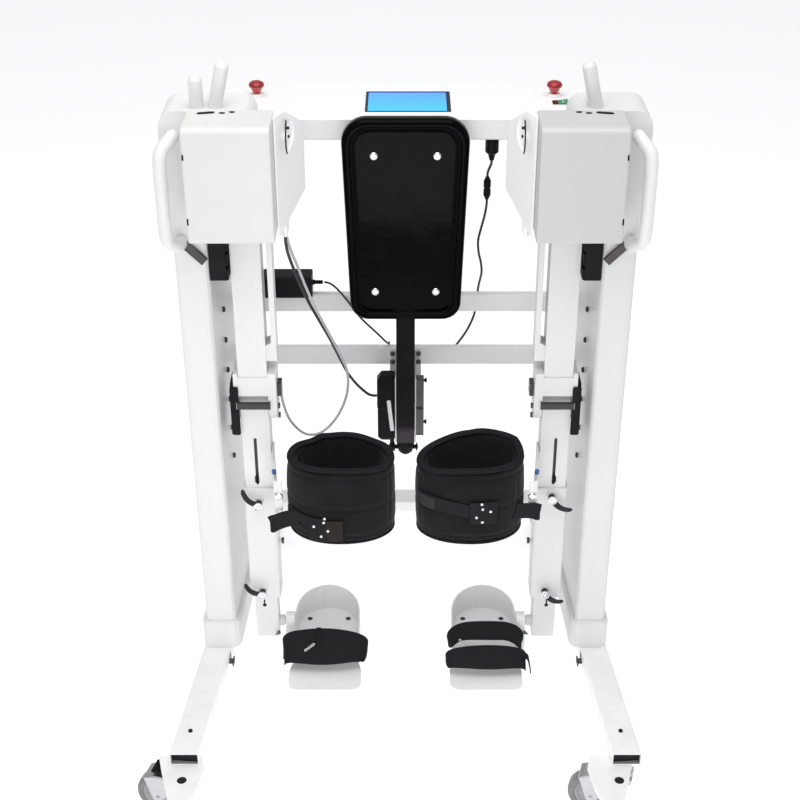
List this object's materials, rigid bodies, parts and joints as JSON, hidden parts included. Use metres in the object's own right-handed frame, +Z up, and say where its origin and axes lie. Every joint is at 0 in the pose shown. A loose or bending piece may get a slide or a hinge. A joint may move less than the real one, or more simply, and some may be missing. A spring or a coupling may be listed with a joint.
{
  "type": "exoskeleton gait trainer",
  "caption": "Wheeled gait-training frame with two hip drives, jointed legs with cuffs and foot trays, a console and a back board.",
  "frame": {"origin": "bottom centre of the bounding box, on the floor", "axes": "+Z up; -Y is the open front, where the user comes in and towards which the toes point; +X is the viewer's right"},
  "size_m": [1.0356, 1.148, 1.4837],
  "materials": {
    "black_cloth": "neoprene with cloth faces",
    "black_gloss": "gloss",
    "black_plastic": "matte",
    "black_rubber": "matte",
    "blue_screen": "glass-clear cover",
    "green_plastic": "gloss",
    "grey_plastic": "matte",
    "red_plastic": "gloss",
    "white_alloy": "satin white powder coat",
    "white_cover": "satin",
    "white_paint": "satin powder coat"
  },
  "bodies": {
    "frame": {"actuator": "black_plastic", "actuator_cable": "black_rubber", "adapter_cable": "black_rubber", "base_leg_l": "white_paint", "base_leg_r": "white_paint", "console_beam": "white_cover", "display": "blue_screen", "display_cord_lower": "black_rubber", "display_cord_upper": "black_rubber", "display_plug": "black_plastic", "grab_handle_l": "white_paint", "grab_handle_r": "white_paint", "hip_cover_l": "white_cover", "hip_cover_r": "white_cover", "hip_housing_l": "white_paint", "hip_housing_r": "white_paint", "inline_connector": "black_plastic", "pad_guide": "white_paint", "pillar_l": "white_paint", "pillar_r": "white_paint", "power_adapter": "black_plastic", "rail_middle": "white_paint", "rail_upper": "white_paint", "rear_crossbar": "white_paint", "sensor_cable": "grey_plastic", "slider_block_l": "black_plastic", "slider_block_r": "black_plastic"},
    "pad_lift": {"back_board": "black_gloss", "pad_post": "black_plastic"},
    "rocker": {"rocker_switch": "green_plastic"},
    "thigh_l": {"thigh_link_l": "white_alloy"},
    "shank_l": {"knee_tube_l": "white_alloy", "leg_cuff_l": "black_cloth"},
    "sleeve_l": {"shank_sleeve_l": "white_alloy"},
    "lower_leg_l": {"foot_tube_l": "white_alloy"},
    "foot_l": {"footplate_l": "white_alloy", "foot_strap_l": "black_cloth"},
    "upper_lever_l": {"lever_upper_l": "black_plastic"},
    "lower_lever_l": {"lever_lower_l": "black_plastic"},
    "stop_l": {"stop_button_l": "red_plastic"},
    "fork_front_l": {"caster_fork_front_l": "grey_plastic"},
    "wheel_front_l": {"caster_wheel_front_l": "grey_plastic"},
    "fork_rear_l": {"caster_fork_rear_l": "grey_plastic"},
    "wheel_rear_l": {"caster_wheel_rear_l": "grey_plastic"},
    "pedal_l": {"brake_pedal_front_l": "black_plastic"},
    "thigh_r": {"thigh_link_r": "white_alloy"},
    "shank_r": {"knee_tube_r": "white_alloy", "leg_cuff_r": "black_cloth"},
    "sleeve_r": {"shank_sleeve_r": "white_alloy"},
    "lower_leg_r": {"foot_tube_r": "white_alloy"},
    "foot_r": {"footplate_r": "white_alloy", "foot_strap_r": "black_cloth"},
    "upper_lever_r": {"lever_upper_r": "black_plastic"},
    "lower_lever_r": {"lever_lower_r": "black_plastic"},
    "stop_r": {"stop_button_r": "red_plastic"},
    "fork_front_r": {"caster_fork_front_r": "grey_plastic"},
    "wheel_front_r": {"caster_wheel_front_r": "grey_plastic"},
    "fork_rear_r": {"caster_fork_rear_r": "grey_plastic"},
    "wheel_rear_r": {"caster_wheel_rear_r": "grey_plastic"},
    "pedal_r": {"brake_pedal_front_r": "black_plastic"}
  },
  "joints": [
    {"name": "hip_left", "type": "hinge", "parent": "frame", "child": "thigh_l", "pos_m": [0.03784, -0.077, 1.225], "axis": [-1, 0, 0], "range_deg": [-10, 45], "deforming": ["sensor_cable"]},
    {"name": "knee_left", "type": "hinge", "parent": "thigh_l", "child": "shank_l", "pos_m": [0.03784, -0.077, 0.765], "axis": [1, 0, 0], "range_deg": [0, 55]},
    {"name": "sleeve_left", "type": "slide", "parent": "shank_l", "child": "sleeve_l", "axis": [0, 0, -1], "range_m": [0, 0.04]},
    {"name": "shank_length_left", "type": "slide", "parent": "sleeve_l", "child": "lower_leg_l", "axis": [0, 0, -1], "range_m": [-0.02, 0.035]},
    {"name": "ankle_left", "type": "hinge", "parent": "lower_leg_l", "child": "foot_l", "pos_m": [0.03784, -0.077, 0.2], "axis": [-1, 0, 0], "range_deg": [-15, 20]},
    {"name": "upper_clamp_left", "type": "hinge", "parent": "sleeve_l", "child": "upper_lever_l", "pos_m": [-0.27016, -0.1136, 0.544], "axis": [0, 1, 0], "range_deg": [0, 70]},
    {"name": "lower_clamp_left", "type": "hinge", "parent": "sleeve_l", "child": "lower_lever_l", "pos_m": [-0.27366, -0.1136, 0.31], "axis": [0, 1, 0], "range_deg": [0, 70]},
    {"name": "stop_left", "type": "slide", "parent": "frame", "child": "stop_l", "axis": [0, 0, -1], "range_m": [0, 0.005], "stiffness_N_per_m": 900},
    {"name": "front_swivel_left", "type": "hinge", "parent": "frame", "child": "fork_front_l", "pos_m": [-0.41416, -0.46, 0], "axis": [0, 0, 1], "continuous": true},
    {"name": "front_wheel_left", "type": "hinge", "parent": "fork_front_l", "child": "wheel_front_l", "pos_m": [-0.46825, -0.44551, 0.05], "axis": [0.2588, 0.9659, 0], "continuous": true},
    {"name": "rear_swivel_left", "type": "hinge", "parent": "frame", "child": "fork_rear_l", "pos_m": [-0.31685, 0.468, 0], "axis": [0, 0, 1], "continuous": true},
    {"name": "rear_wheel_left", "type": "hinge", "parent": "fork_rear_l", "child": "wheel_rear_l", "pos_m": [-0.31685, 0.524, 0.05], "axis": [1, 0, 0], "continuous": true},
    {"name": "brake_left", "type": "hinge", "parent": "fork_front_l", "child": "pedal_l", "pos_m": [-0.44893, -0.45068, 0.112], "axis": [-0.2588, -0.9659, 0], "range_deg": [0, 10]},
    {"name": "hip_right", "type": "hinge", "parent": "frame", "child": "thigh_r", "pos_m": [0.03784, -0.077, 1.225], "axis": [-1, 0, 0], "range_deg": [-10, 45]},
    {"name": "knee_right", "type": "hinge", "parent": "thigh_r", "child": "shank_r", "pos_m": [0.03784, -0.077, 0.765], "axis": [1, 0, 0], "range_deg": [0, 55]},
    {"name": "sleeve_right", "type": "slide", "parent": "shank_r", "child": "sleeve_r", "axis": [0, 0, -1], "range_m": [0, 0.04]},
    {"name": "shank_length_right", "type": "slide", "parent": "sleeve_r", "child": "lower_leg_r", "axis": [0, 0, -1], "range_m": [-0.02, 0.035]},
    {"name": "ankle_right", "type": "hinge", "parent": "lower_leg_r", "child": "foot_r", "pos_m": [0.03784, -0.077, 0.2], "axis": [-1, 0, 0], "range_deg": [-15, 20]},
    {"name": "upper_clamp_right", "type": "hinge", "parent": "sleeve_r", "child": "upper_lever_r", "pos_m": [0.34384, -0.1136, 0.56], "axis": [0, -1, 0], "range_deg": [0, 70]},
    {"name": "lower_clamp_right", "type": "hinge", "parent": "sleeve_r", "child": "lower_lever_r", "pos_m": [0.34134, -0.1136, 0.312], "axis": [0, -1, 0], "range_deg": [0, 70]},
    {"name": "stop_right", "type": "slide", "parent": "frame", "child": "stop_r", "axis": [0, 0, -1], "range_m": [0, 0.005], "stiffness_N_per_m": 900},
    {"name": "front_swivel_right", "type": "hinge", "parent": "frame", "child": "fork_front_r", "pos_m": [0.47884, -0.46, 0], "axis": [0, 0, 1], "continuous": true},
    {"name": "front_wheel_right", "type": "hinge", "parent": "fork_front_r", "child": "wheel_front_r", "pos_m": [0.42475, -0.44551, 0.05], "axis": [0.2588, 0.9659, 0], "continuous": true},
    {"name": "rear_swivel_right", "type": "hinge", "parent": "frame", "child": "fork_rear_r", "pos_m": [0.39253, 0.468, 0], "axis": [0, 0, 1], "continuous": true},
    {"name": "rear_wheel_right", "type": "hinge", "parent": "fork_rear_r", "child": "wheel_rear_r", "pos_m": [0.39253, 0.524, 0.05], "axis": [1, 0, 0], "continuous": true},
    {"name": "brake_right", "type": "hinge", "parent": "fork_front_r", "child": "pedal_r", "pos_m": [0.44407, -0.45068, 0.112], "axis": [-0.2588, -0.9659, 0], "range_deg": [0, 10]},
    {"name": "rocker", "type": "hinge", "parent": "frame", "child": "rocker", "pos_m": [0.35084, 0.199, 1.305], "axis": [0, 1, 0], "range_deg": [0, 12]},
    {"name": "pad_lift", "type": "slide", "parent": "frame", "child": "pad_lift", "axis": [0, 0, 1], "range_m": [-0.1, 0]}
  ]
}
